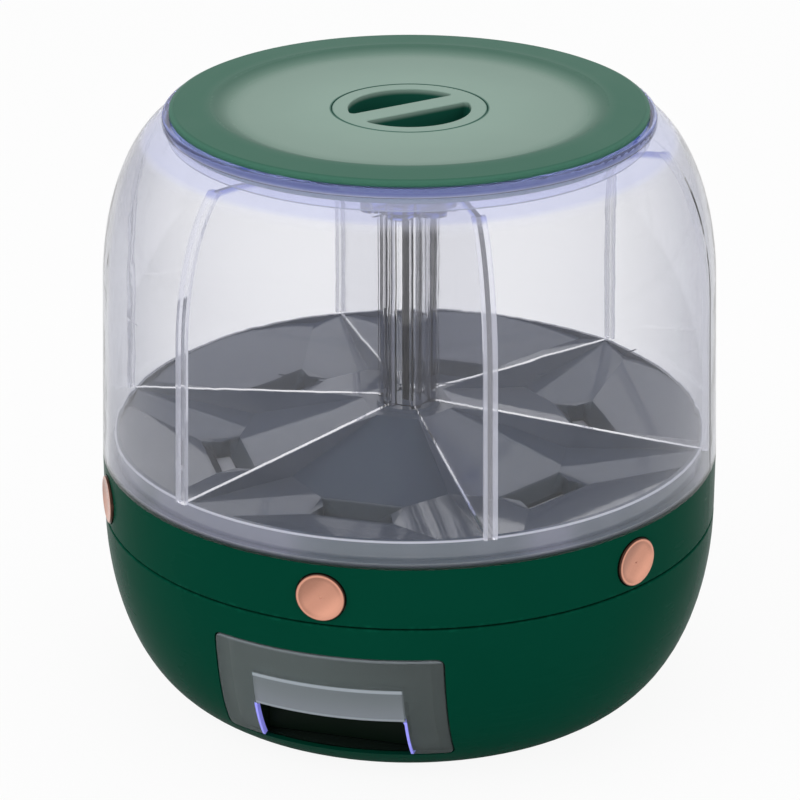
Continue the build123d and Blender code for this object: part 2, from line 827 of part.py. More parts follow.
with BuildPart() as bearing_balls:
    with Locations((0, 0, ball_z)):
        with PolarLocations(race_radius, ball_count):
            Sphere(ball_radius)
save(bearing_balls, "bearing_balls")

# Deck: closes the bowl, carries the pivot and the lower race, and drops grain into the drawer
chute_length = spout_length + 2 * chute_allowance
chute_width = spout_width + 2 * chute_allowance
chute_low_z = deck_bottom_z - chute_drop
with BuildPart() as deck:
    with BuildSketch(Plane.XY.offset(deck_bottom_z)):
        Circle(deck_radius)
    extrude(amount=deck_thickness)
    with BuildSketch(Plane.XY.offset(deck_top_z)):
        Circle(pivot_radius)
    extrude(amount=pivot_height)
    with BuildSketch(level_plane(front, chute_low_z)):
        with Locations((outlet_radius, 0)):
            Rectangle(chute_length + 2 * chute_wall, chute_width + 2 * chute_wall)
    extrude(amount=chute_drop)
    with BuildSketch(level_plane(front, chute_low_z)):
        with Locations((outlet_radius, 0)):
            Rectangle(chute_length, chute_width)
    extrude(amount=chute_drop + deck_thickness, mode=Mode.SUBTRACT)
    with BuildSketch(Plane.XY.offset(deck_bottom_z)):
        with PolarLocations(deck_screw_circle, compartments):
            Circle(pilot_radius)
    extrude(amount=deck_thickness, mode=Mode.SUBTRACT)
    with BuildSketch(Plane.XY.offset(pivot_top_z)):
        Circle(pilot_radius)
    extrude(amount=-screw_length, mode=Mode.SUBTRACT)
    with Locations((0, 0, ball_z)):
        Torus(race_radius, ball_radius + race_gap, mode=Mode.SUBTRACT)
save(deck, "deck")

with BuildPart() as deck_screws:
    with BuildSketch(Plane.XY.offset(deck_top_z)):
        with PolarLocations(deck_screw_circle, compartments):
            Circle(screw_head_radius)
    extrude(amount=screw_head_height)
    with BuildSketch(Plane.XY.offset(deck_top_z)):
        with PolarLocations(deck_screw_circle, compartments):
            Circle(screw_radius)
    extrude(amount=-(deck_thickness + ledge_thickness))
save(deck_screws, "deck_screws")

with BuildPart() as pivot_washer:
    with BuildSketch(Plane.XY.offset(pivot_top_z)):
        Circle(pivot_radius + washer_reach)
        Circle(pilot_radius, mode=Mode.SUBTRACT)
    extrude(amount=washer_thickness)
save(pivot_washer, "pivot_washer")

with BuildPart() as pivot_screw:
    with BuildSketch(Plane.XY.offset(washer_top_z)):
        Circle(pivot_head_radius)
    extrude(amount=pivot_head_height)
    fillet(pivot_screw.edges().group_by(Axis.Z)[-1], pivot_head_height / 2)
    with BuildSketch(Plane.XY.offset(washer_top_z)):
        Circle(screw_radius)
    extrude(amount=-screw_length)
save(pivot_screw, "pivot_screw")


def drawer_outline(margin, corner):
    """Rounded outline of the drawer's front, grown by a margin, in the sketch that is open."""
    with Locations((0, (panel_low + panel_high) / 2)):
        RectangleRounded(panel_width + 2 * margin, panel_high - panel_low + 2 * margin, corner)


# Base bowl: one shell with a ledge for the deck, a lip behind the ring and the drawer's opening
sleeve_half = box_width / 2 + slide_gap
leg_x = sleeve_half + sleeve_wall - sleeve_leg_inset
leg_rows = (-box_back - sleeve_leg_inset, -box_back - sleeve_leg_inset - sleeve_leg_spacing)
leg_places = [(side * leg_x, row) for side in (-1, 1) for row in leg_rows]
with BuildPart() as base_bowl:
    with BuildSketch(Plane.XZ):
        with BuildLine():
            outer = bowl_curve(0, seam_z)
            ledge_low = deck_bottom_z - ledge_thickness
            inner = bowl_curve(bowl_wall, ledge_low)
            Polyline(
                outer @ 1,
                (lip_outer, seam_z),
                (lip_outer, seam_z + lip_height),
                (lip_inner, seam_z + lip_height),
                (lip_inner, deck_bottom_z),
                (ledge_inner, deck_bottom_z),
                (ledge_inner, ledge_low),
                inner @ 1,
            )
            Polyline(outer @ 0, (0, foot_height), (0, bowl_floor_z), inner @ 0)
        make_face()
    revolve(axis=Axis.Z)
    seam_edges = base_bowl.edges().filter_by(GeomType.CIRCLE).sort_by(SortBy.RADIUS)
    fillet(seam_edges[-1], seam_round)
    with BuildSketch(Plane.XZ):
        drawer_outline(panel_gap, panel_round + panel_gap)
    extrude(amount=2 * body_radius, mode=Mode.SUBTRACT)
    with BuildSketch(Plane.XY.offset(foot_height)):
        with PolarLocations(foot_circle, foot_count, start_angle=sector / 2):
            Circle(foot_radius + seat_gap)
    extrude(amount=foot_recess, mode=Mode.SUBTRACT)
    with BuildSketch(Plane.XY.offset(foot_height)):
        with Locations(*leg_places):
            Circle(pilot_radius)
    extrude(amount=bowl_wall, mode=Mode.SUBTRACT)
    with BuildSketch(Plane.XY.offset(foot_height)):
        with Locations(*leg_places):
            Circle(screw_head_radius + seat_gap)
    extrude(amount=screw_head_height, mode=Mode.SUBTRACT)
    with BuildSketch(Plane.XY.offset(deck_bottom_z)):
        with PolarLocations(deck_screw_circle, compartments):
            Circle(pilot_radius)
    extrude(amount=-ledge_thickness, mode=Mode.SUBTRACT)
save(base_bowl, "base_bowl")

with BuildPart() as feet:
    with BuildSketch():
        with PolarLocations(foot_circle, foot_count, start_angle=sector / 2):
            Circle(foot_radius)
    extrude(amount=foot_height + foot_recess)
    chamfer(feet.edges().group_by(Axis.Z)[0], foot_bevel)
save(feet, "feet")

# Guide sleeve for the drawer: floor, side walls and back, standing on four legs
sleeve_top_z = deck_bottom_z - slide_gap
with BuildPart() as drawer_sleeve:
    sleeve_back = -box_back + slide_gap
    sleeve_reach = body_radius + sleeve_back + sleeve_wall
    with BuildSketch(Plane.XY.offset(sleeve_floor_z)):
        with Locations((0, sleeve_back + sleeve_wall)):
            Rectangle(2 * (sleeve_half + sleeve_wall), sleeve_reach, align=(Align.CENTER, Align.MAX))
    extrude(amount=sleeve_top_z - sleeve_floor_z)
    with BuildSketch(Plane.XY.offset(sleeve_floor_top)):
        with Locations((0, sleeve_back)):
            Rectangle(2 * sleeve_half, sleeve_reach, align=(Align.CENTER, Align.MAX))
    extrude(amount=sleeve_top_z - sleeve_floor_top, mode=Mode.SUBTRACT)
    with BuildSketch(Plane.XZ):
        with BuildLine():
            inside = bowl_curve(bowl_wall + slide_gap, ledge_low - slide_gap)
            Polyline(
                inside @ 1,
                (ledge_inner - slide_gap, ledge_low - slide_gap),
                (ledge_inner - slide_gap, sleeve_top_z),
                (0, sleeve_top_z),
                (0, bowl_floor_z + slide_gap),
                inside @ 0,
            )
        make_face()
    revolve(axis=Axis.Z, mode=Mode.INTERSECT)
    with BuildSketch(Plane.XY.offset(bowl_floor_z)):
        with Locations(*leg_places):
            Circle(sleeve_leg_radius)
    extrude(amount=sleeve_floor_z - bowl_floor_z)
    with BuildSketch(Plane.XY.offset(bowl_floor_z)):
        with Locations(*leg_places):
            Circle(pilot_radius)
    extrude(amount=screw_length, mode=Mode.SUBTRACT)
save(drawer_sleeve, "drawer_sleeve")

with BuildPart() as sleeve_screws:
    with BuildSketch(Plane.XY.offset(foot_height)):
        with Locations(*leg_places):
            Circle(screw_head_radius)
    extrude(amount=screw_head_height)
    with BuildSketch(Plane.XY.offset(foot_height + screw_head_height)):
        with Locations(*leg_places):
            Circle(screw_radius)
    extrude(amount=screw_length)
save(sleeve_screws, "sleeve_screws")

# Drawer front: a smoky panel that continues the bowl, with a finger opening and its pocket
pull_top = panel_low + pull_height
pocket_top = pull_top + pocket_rise
pocket_depth = body_radius - box_front
with BuildPart() as finger_pocket:
    with BuildSketch(Plane.XZ.offset(box_front)):
        with Locations((0, pocket_top + pocket_wall)):
            Rectangle(
                pull_width + 2 * pocket_wall,
                pocket_top + pocket_wall - panel_low,
                align=(Align.CENTER, Align.MAX),
            )
    extrude(amount=pocket_depth)
    with BuildSketch(Plane.XZ.offset(box_front)):
        with Locations((0, pocket_top)):
            Rectangle(pull_width, pocket_top, align=(Align.CENTER, Align.MAX))
    extrude(amount=pocket_depth, mode=Mode.SUBTRACT)
    with BuildSketch(Plane.XZ):
        with BuildLine():
            face_line = bowl_curve(panel_wall / 2, seam_z)
            Polyline(face_line @ 1, (0, seam_z), (0, foot_height + panel_wall / 2), face_line @ 0)
        make_face()
    revolve(axis=Axis.Z, mode=Mode.INTERSECT)

with BuildPart() as drawer_front:
    with BuildSketch(Plane.XZ):
        with BuildLine():
            face_line = bowl_curve(0, seam_z)
            back_line = bowl_curve(panel_wall, seam_z)
            Line(face_line @ 0, back_line @ 0)
            Line(face_line @ 1, back_line @ 1)
        make_face()
    revolve(axis=Axis.Z)
    with BuildSketch(Plane.XZ):
        drawer_outline(0, panel_round)
    extrude(amount=2 * body_radius, mode=Mode.INTERSECT)
    with BuildSketch(Plane.XZ):
        with Locations((0, pull_top)):
            RectangleRounded(
                pull_width, 2 * pull_height, pull_round, align=(Align.CENTER, Align.MAX)
            )
    extrude(amount=2 * body_radius, mode=Mode.SUBTRACT)
    add(finger_pocket.part)
save(drawer_front, "drawer_front")

# Drawer box: an open tray that slides in the sleeve, behind the front's pocket
with BuildPart() as drawer_box:
    with BuildSketch(Plane.XY.offset(box_low)):
        with Locations((0, -(box_front + box_back) / 2)):
            Rectangle(box_width, box_front - box_back)
    extrude(amount=box_height)
    fillet(drawer_box.edges().filter_by(Axis.Z).sort_by(Axis.Y)[-2:], box_round)
    offset(amount=-box_wall, openings=drawer_box.faces().sort_by(Axis.Z)[-1])
save(drawer_box, "drawer_box")
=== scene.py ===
"""Looks of a rotating six-part grain dispenser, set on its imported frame."""

import json
import math

import bpy
from bpy.props import FloatProperty, FloatVectorProperty, IntProperty, PointerProperty
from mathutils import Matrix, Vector


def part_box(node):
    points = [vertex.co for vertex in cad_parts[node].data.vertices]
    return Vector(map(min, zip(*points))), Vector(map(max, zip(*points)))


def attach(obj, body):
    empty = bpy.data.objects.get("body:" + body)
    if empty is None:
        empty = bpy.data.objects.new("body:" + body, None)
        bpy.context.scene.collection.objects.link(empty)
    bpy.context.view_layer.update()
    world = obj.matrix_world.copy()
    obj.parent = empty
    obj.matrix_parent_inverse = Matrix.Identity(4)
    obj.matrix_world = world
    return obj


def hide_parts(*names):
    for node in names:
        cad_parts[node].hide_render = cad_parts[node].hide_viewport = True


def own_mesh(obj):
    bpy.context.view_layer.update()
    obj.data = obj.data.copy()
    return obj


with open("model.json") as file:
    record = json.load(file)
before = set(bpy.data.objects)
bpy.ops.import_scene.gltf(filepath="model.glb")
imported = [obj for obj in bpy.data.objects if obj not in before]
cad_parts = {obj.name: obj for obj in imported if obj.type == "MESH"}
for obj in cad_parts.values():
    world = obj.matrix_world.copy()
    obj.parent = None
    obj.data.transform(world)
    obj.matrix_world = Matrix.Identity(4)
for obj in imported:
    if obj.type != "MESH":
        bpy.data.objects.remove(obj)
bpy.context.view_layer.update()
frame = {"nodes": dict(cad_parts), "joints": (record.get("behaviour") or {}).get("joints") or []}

bl_info = {
    "name": "Grain dispenser looks",
    "version": (1, 0, 0),
    "blender": (4, 5, 0),
    "location": "View3D > Sidebar > Dispenser",
    "description": "Finishes, coil springs and stage of a rotating grain dispenser",
    "category": "Object",
}

COMPARTMENTS = range(1, 7)
FRONT_TURN = -math.pi / 2
SECTOR = math.pi / 3

# Fades over the lid, from one distance from the turning axis to another: painted reflection and shade of
# the dish and band, painted shade at the dish's foot and down the side, and a painted highlight on the
# outer edge
DISH_SHADE_FADE = (0.030, 0.095)
BAND_SHADE_FADE = (0.080, 0.1025)
DISH_FOOT_SHADE = (0.0915, 0.0975)
EDGE_HIGHLIGHT_FADE = (0.1147, 0.1160)
SIDE_SHADE_FADE = (0.1160, 0.1168)

# Fade of painted shade over the hopper's funnels, outward from the axis
FUNNEL_SHADE_FADE = (0.03, 0.14)

# Fades of painted light and shade over the drawer front: lighter low down, and darker to the right
FRONT_LIGHT_RISE = (0.02, 0.075)
FRONT_SHADE_RUN = (-0.03, 0.056)

# How far clear plastic bends light, what it lets through, and how it darkens toward its outline
WALL_BEND = 1.38
DIVIDER_BEND = 1.12
PASSING = (0.95, 0.95, 0.97)
OUTLINE_POWER = 1.55

# Depths of moulded grain and of finer marks, and widths of soft and sharp lines
GRAIN_DEPTH = 0.0003
FINE_DEPTH = 0.0002
SOFT_LINE = 0.0004
SHARP_LINE = 0.0003

# Soft boxes: name, place, size and power
LAMPS = (
    ("key_softbox", (-1.1, -1.5, 1.7), 2.0, 20.0),
    ("fill_softbox", (1.7, -1.0, 1.0), 1.8, 8.0),
    ("top_softbox", (0.1, 0.6, 1.9), 1.6, 9.0),
)
LAMP_AIM = (0.0, 0.0, 0.15)

# Glows of the studio in reflections: direction and strength
GLOWS = (
    ((-0.55, -0.60, 0.58), 1.0),
    ((0.78, -0.42, 0.46), 0.35),
    ((-0.10, 0.90, 0.42), 0.8),
)
GLOW_SPREAD = (0.55, 1.0)

# The floor: its radius, where it fades out, and how much of its white needs no lamp
FLOOR_RADIUS = 4.0
FLOOR_FADE = (1.0, 3.2)
FLOOR_WHITE = 0.92

# The photograph's framing
SENSOR_WIDTH = 36.0
FRAME_SHIFT = (-0.0119, 0.0475)


# Sizes and colours a user may change


def colour(name, description, default):
    return FloatVectorProperty(
        name=name, description=description, default=default, subtype="COLOR", min=0.0, max=1.0, size=3
    )


def share(name, description, default):
    return FloatProperty(
        name=name, description=description, default=default, min=0.0, max=1.0, subtype="FACTOR"
    )


def length(name, description, default):
    return FloatProperty(
        name=name, description=description, default=default, min=0.0, unit="LENGTH", precision=5
    )


class LidFinish(bpy.types.PropertyGroup):
    # Painted reflection: the dish colour is lighter for the light above it
    dish: colour("Dish", "Sage green of the lid's dish", (0.236, 0.338, 0.288))
    # Painted shade: the band colour is darker where the lid turns away from the light above
    band: colour("Band", "Deeper green of the lid's outer band", (0.040, 0.128, 0.088))
    # Painted shade in the grip's pockets, in its groove and on the lid's side below the seat
    recess_shade: colour("Recess", "Green down in the grip's pockets", (0.010, 0.088, 0.060))
    roughness: share("Roughness", "Roughness of the satin lid", 0.42)
    grip: length("Grip", "Radius of the twist grip", 0.038)


class GreenFinish(bpy.types.PropertyGroup):
    body: colour("Body", "Deep green of the ring and the bowl", (0.0004, 0.048, 0.027))
    roughness: share("Roughness", "Roughness of the moulded skin", 0.27)
    grain: share("Grain", "Depth of the moulded grain", 0.06)


class ClearFinish(bpy.types.PropertyGroup):
    tint: colour("Tint", "Colour of light that comes through a wall", (0.993, 0.993, 1.0))
    edge: colour("Edge", "Colour of a wall seen along its face", (0.34, 0.355, 0.46))
    neck: colour("Neck", "Lavender of the neck under the lid", (0.78, 0.80, 0.95))
    rim: colour("Rim", "Blue of the thick rim", (0.15, 0.20, 0.62))
    roughness: share("Roughness", "Roughness of the polished plastic", 0.005)
    bead: colour("Bead", "Milky white of the dividers' beads", (0.86, 0.87, 0.95))
    haze: share("Haze", "Milkiness of the dividers' plates", 0.02)
    milk: share("Milk", "Milkiness of the dividers' beads", 0.30)
    veil: share("Veil", "Milkiness of the neck under the lid", 0.15)
    plate_half: length("Plate half", "Half the thickness of a divider", 0.0012)
    rim_depth: length("Rim depth", "Depth of the blue in the bin's rim", 0.0045)
    crown_depth: length("Crown depth", "Depth below the rim at which the dividers turn blue", 0.0155)


class SmokeFinish(bpy.types.PropertyGroup):
    body: colour("Body", "Grey of the smoky plastic", (0.135, 0.170, 0.168))
    pocket: colour("Pocket", "Lighter grey of the moulded finger pocket", (0.30, 0.335, 0.375))
    shade: colour("Shade", "Dark of the drawer behind the finger opening", (0.002, 0.008, 0.004))
    # Painted violet glow of the cut edges
    edge: colour("Edge", "Violet light in the cut edges", (0.30, 0.30, 0.95))
    cover: share("Cover", "How much one face of the smoky plastic hides", 0.45)
    roughness: share("Roughness", "Roughness of the polished plastic", 0.09)
    bowl_bottom: length("Bowl bottom", "Radius of the bowl where it meets its floor", 0.1094)
    wall: length("Wall", "Thickness of the front", 0.003)
    pull_half: length("Pull half", "Half the width of the finger opening", 0.037)
    pull_rise: length("Pull rise", "Height of the finger opening", 0.024)
    pocket_rise: length("Pocket rise", "Height of the pocket above the opening", 0.017)
    pocket_wall: length("Pocket wall", "Thickness of the pocket's walls", 0.002)


class HopperFinish(bpy.types.PropertyGroup):
    face: colour("Face", "Grey of the hopper's funnels", (0.084, 0.103, 0.148))
    # Painted shade of the wells under the funnels
    deep: colour("Deep", "Dark grey of the wells under the funnels", (0.030, 0.042, 0.058))
    rim: colour("Rim", "Lighter grey of the rim behind the clear wall", (0.19, 0.205, 0.27))
    rim_shade: colour("Rim shade", "Darker patches of that rim", (0.060, 0.092, 0.115))
    # Painted highlight along the top of that rim
    rim_highlight: colour("Rim edge", "Pale line along the top of that rim", (0.60, 0.62, 0.70))
    rim_rise: length("Rim rise", "Height of that rim above the button ring", 0.012)
    rim_reach: length("Rim reach", "From the hopper's outside to the inside of that rim", 0.0045)
    inner: colour("Inner", "Grey of the pieces inside", (0.120, 0.125, 0.130))
    # Painted shade of the sleeve, seen through the finger opening
    dark: colour("Dark", "Dark of the sleeve round the drawer", (0.010, 0.018, 0.014))
    slide: colour("Slide", "Pale grey of the shutters and the ball cage", (0.56, 0.57, 0.60))
    roughness: share("Roughness", "Roughness of the grey plastic", 0.06)


class CopperFinish(bpy.types.PropertyGroup):
    body: colour("Body", "Rose copper of the push buttons", (0.72, 0.345, 0.242))
    roughness: share("Roughness", "Roughness of the metallised face", 0.11)
    dish: length("Dish", "Radius of the dish in a button's face", 0.0104)
    face: length("Face", "Radius of a button's face", 0.01225)


class SpringSizes(bpy.types.PropertyGroup):
    wire: length("Wire", "Thickness of the spring wire", 0.0011)
    turns: IntProperty(name="Turns", description="Free turns of each coil", default=5, min=2, max=12)


class StageSettings(bpy.types.PropertyGroup):
    distance: length("Distance", "Camera to the ring's upper edge", 1.7)
    azimuth: FloatProperty(name="Azimuth", description="Camera to the right of the drawer", default=15.6)
    elevation: FloatProperty(name="Elevation", description="Camera above the horizon", default=23.45)
    lens: FloatProperty(
        name="Lens", description="Focal length in millimetres", default=150.75, unit="CAMERA"
    )
    floor: share("Floor", "Lightness of the floor", 0.82)
    world: share("World", "Strength of the soft light all round", 0.62)
    reflection: share("Reflection", "Strength of the studio in reflections", 0.42)


# Node trees written as expressions


class Field:
    """A node's output that works in expressions: each operator adds a Math node."""

    def __init__(self, graph, socket):
        self.graph = graph
        self.socket = socket

    def math(self, operation, *values):
        return self.graph.node("ShaderNodeMath", {"operation": operation}, dict(enumerate(values)))

    def __add__(self, other):
        return self.math("ADD", self, other)

    def __radd__(self, other):
        return self.math("ADD", other, self)

    def __sub__(self, other):
        return self.math("SUBTRACT", self, other)

    def __rsub__(self, other):
        return self.math("SUBTRACT", other, self)

    def __mul__(self, other):
        return self.math("MULTIPLY", self, other)

    def __rmul__(self, other):
        return self.math("MULTIPLY", other, self)

    def __truediv__(self, other):
        return self.math("DIVIDE", self, other)

    def __pow__(self, other):
        return self.math("POWER", self, other)

    def __abs__(self):
        return self.math("ABSOLUTE", self)

    def larger(self, other):
        return self.math("MAXIMUM", self, other)

    def rise(self, low, high):
        """0 below low and 1 above high, smooth between."""
        return self.graph.node(
            "ShaderNodeMapRange",
            {"interpolation_type": "SMOOTHSTEP"},
            {"Value": self, "From Min": low, "From Max": high},
        )

    def band(self, low, high, soft):
        """1 between low and high, with soft edges."""
        return self.rise(low - soft, low + soft) * (1 - self.rise(high - soft, high + soft))


class Graph:
    """One node tree, of a material, the world or a shape."""

    def __init__(self, tree):
        self.tree = tree

    def node(self, kind, settings=None, sockets=None, out=0):
        made = self.tree.nodes.new(kind)
        for key, value in (settings or {}).items():
            setattr(made, key, value)
        for key, value in (sockets or {}).items():
            if isinstance(value, Field):
                self.tree.links.new(value.socket, made.inputs[key])
            elif value is not None:
                made.inputs[key].default_value = value
        return Field(self, made.outputs[out]) if made.outputs else None

    def vector(self, operation, *values, out="Vector"):
        return self.node("ShaderNodeVectorMath", {"operation": operation}, dict(enumerate(values)), out)

    def veil(self, factor, first, second):
        """One shader over another."""
        return self.node("ShaderNodeMixShader", None, {0: factor, 1: first, 2: second})


class Paint(Graph):
    """A material under construction."""

    def __init__(self, name):
        self.material = bpy.data.materials.new(name)
        self.material.use_nodes = True
        super().__init__(self.material.node_tree)
        self.tree.nodes.clear()
        self.place = self.node("ShaderNodeTexCoord", out="Object")

    def along(self, axis):
        return self.node("ShaderNodeSeparateXYZ", None, {0: self.place}, axis)

    def radius(self):
        """Distance from the turning axis."""
        x = self.along("X")
        y = self.along("Y")
        return (x * x + y * y) ** 0.5

    def outward(self):
        """How far a face looks away from the turning axis."""
        normal = self.node("ShaderNodeTexCoord", out="Normal")
        level = self.vector("MULTIPLY", self.place, (1.0, 1.0, 0.0))
        away = self.vector("NORMALIZE", level)
        return self.vector("DOT_PRODUCT", normal, away, out="Value")

    def sideways(self, shift):
        """Distance sideways from the nearest of six upright planes through the axis."""
        turn = self.along("Y").math("ARCTAN2", self.along("Y"), self.along("X"))
        steps = turn / SECTOR + (shift + 0.5)
        nearest = (steps.math("FRACT", steps) - 0.5) * SECTOR
        return self.radius() * nearest.math("SINE", nearest)

    def noise(self, scale, detail=2.0, squeeze=None):
        """Noise, whose pattern may be squeezed or drawn out along the upright axis."""
        place = self.place
        if squeeze:
            place = self.node("ShaderNodeMapping", None, {0: place, 3: (1.0, 1.0, squeeze)})
        return self.node("ShaderNodeTexNoise", None, {"Vector": place, "Scale": scale, "Detail": detail})

    def mix(self, factor, first, second):
        first, second = (value if isinstance(value, Field) else flat(value) for value in (first, second))
        return self.node("ShaderNodeMix", {"data_type": "RGBA"}, {0: factor, 6: first, 7: second}, 2)

    def bump(self, height, strength, distance):
        sockets = {"Height": height, "Strength": strength, "Distance": distance}
        return self.node("ShaderNodeBump", None, sockets)

    def skin(self, sockets):
        return self.node("ShaderNodeBsdfPrincipled", None, sockets)

    def lamplit(self, body):
        """Lets lamps and scattered light straight through a clear body."""
        passing = self.node("ShaderNodeLightPath", out="Is Shadow Ray")
        passing = passing.larger(self.node("ShaderNodeLightPath", out="Is Diffuse Ray"))
        through = self.node("ShaderNodeBsdfTransparent", None, {"Color": flat(PASSING)})
        return self.veil(passing, body, through)

    def finish(self, shader):
        self.node("ShaderNodeOutputMaterial", None, {"Surface": shader})
        return self.material


def flat(rgb):
    """A colour with its alpha."""
    return (*rgb, 1.0)


def times(rgb, factor, lift=0.0):
    """A colour made darker or lighter."""
    return [min(1.0, c * factor + lift) for c in rgb]


# Finishes


def lid_paint(look):
    """Sage dish with a painted reflection that deepens into an outer band of painted shade, with a painted
    highlight on the outer edge and painted shade in the grip's pockets and groove and on the side below the
    seat.
    """
    paint = Paint("lid_satin")
    radius = paint.radius()
    height = paint.along("Z")
    cloud = paint.noise(28.0)
    grain = paint.noise(1500.0, 3.0)
    lid_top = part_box("grip_cap")[1].z
    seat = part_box("bin_shell")[1].z
    # Painted reflection: the dish is lightest in its middle and darkens outward
    dish = paint.mix(radius.rise(*DISH_SHADE_FADE), look.dish, times(look.dish, 0.86))
    dish = paint.mix(cloud * 0.2, dish, times(look.dish, 0.85))
    # Painted shade: the outer band is darker
    field = paint.mix(radius.rise(*BAND_SHADE_FADE), dish, look.band)
    # Painted shade in the crease at the dish's foot
    field = paint.mix(radius.band(*DISH_FOOT_SHADE, 0.004) * 0.35, field, times(look.band, 0.7))
    # Painted highlight along the lid's outer edge
    field = paint.mix(radius.rise(*EDGE_HIGHLIGHT_FADE) * 0.25, field, times(look.band, 1.7))
    # Painted shade on the lid's side below the seat, in the gap above the rim
    under = (1 - height.rise(seat, seat + 0.0012)) * radius.rise(*SIDE_SHADE_FADE)
    field = paint.mix(under, field, look.recess_shade)
    # Painted shade in the grip's groove
    groove_shade = radius.band(look.grip - 0.0006, look.grip + 0.0009, SHARP_LINE)
    field = paint.mix(groove_shade * 0.85, field, look.recess_shade)
    # Painted shade down in the grip's pockets
    deep = 1 - height.rise(lid_top - 0.0032, lid_top - 0.0008)
    inside = 1 - radius.rise(look.grip - 0.002, look.grip - 0.001)
    base = paint.mix(deep * inside, field, look.recess_shade)
    sockets = {
        "Base Color": base,
        "Roughness": look.roughness + 0.10 * (cloud - 0.5),
        "Specular IOR Level": 0.07,
        "Normal": paint.bump(grain, 0.08, GRAIN_DEPTH),
    }
    return paint.finish(paint.skin(sockets))


def green_paint(look):
    """Deep green, a little worn along the seam between ring and bowl."""
    paint = Paint("deep_green_skin")
    cloud = paint.noise(16.0)
    grain = paint.noise(1700.0, 3.0)
    streak = paint.noise(22.0, 3.0, squeeze=14.0)
    height = paint.along("Z")
    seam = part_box("button_ring")[0].z
    worn = height.band(seam - 0.0018, seam + 0.0016, 0.0007) * paint.noise(240.0).rise(0.45, 0.75)
    base = paint.mix(cloud * 0.35, look.body, times(look.body, 1.5, 0.0015))
    base = paint.mix(worn * 0.25, base, times(look.body, 2.6, 0.004))
    sockets = {
        "Base Color": base,
        "Roughness": look.roughness + 0.10 * (cloud - 0.5) + 0.02 * (streak - 0.5) + 0.12 * worn,
        "Specular IOR Level": 0.01,
        "Normal": paint.bump(grain, look.grain, GRAIN_DEPTH),
    }
    return paint.finish(paint.skin(sockets))


def clear_paint(name, look, edge, rim_low):
    """Clear plastic: bends light for the eye, and lets lamps through to what stands behind it."""
    paint = Paint(name)
    return paint.finish(paint.lamplit(clear_body(paint, look, edge, rim_low, WALL_BEND)))


def clear_body(paint, look, edge, rim_low, bend):
    """Bending plastic, darker toward its outline and blue above rim_low."""
    facing = paint.node("ShaderNodeLayerWeight", None, {"Blend": 0.5}, "Facing")
    height = paint.along("Z")
    wave = paint.noise(34.0)
    tint = paint.mix(facing ** OUTLINE_POWER, look.tint, edge)
    lid_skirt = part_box("lid")[0].z
    base = paint.mix(height.rise(lid_skirt - 0.0048, lid_skirt - 0.0032), tint, look.neck)
    base = paint.mix(height.rise(rim_low, rim_low + 0.002), base, look.rim)
    sockets = {
        "Base Color": base,
        "Roughness": look.roughness + 0.015 * wave,
        "Transmission Weight": 1.0,
        "IOR": bend,
        "Normal": paint.bump(wave, 0.06, 0.002),
    }
    return paint.skin(sockets)


def shell_paint(look, rim_low):
    """The domed wall, with a lavender veil in the thick neck under the lid."""
    paint = Paint("clear_shell")
    body = clear_body(paint, look, look.edge, rim_low, WALL_BEND)
    lid_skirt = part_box("lid")[0].z
    thick = paint.along("Z").band(lid_skirt - 0.006, rim_low, 0.003)
    milk = paint.skin({"Base Color": flat(look.neck), "Roughness": 0.2})
    return paint.finish(paint.lamplit(paint.veil(look.veil * thick, body, milk)))


def divider_paint(look, edge, rim_low):
    """Clear plates, with a little milk in the bead along their outer edge."""
    paint = Paint("clear_divider")
    body = clear_body(paint, look, edge, rim_low, DIVIDER_BEND)
    bead = abs(paint.sideways(0.0)).rise(look.plate_half, look.plate_half + SOFT_LINE)
    edge_on = paint.outward().rise(0.3, 0.6) * 0.85
    milk = paint.skin({"Base Color": flat(look.bead), "Roughness": 0.2})
    return paint.finish(paint.lamplit(paint.veil(look.haze + look.milk * bead.larger(edge_on), body, milk)))


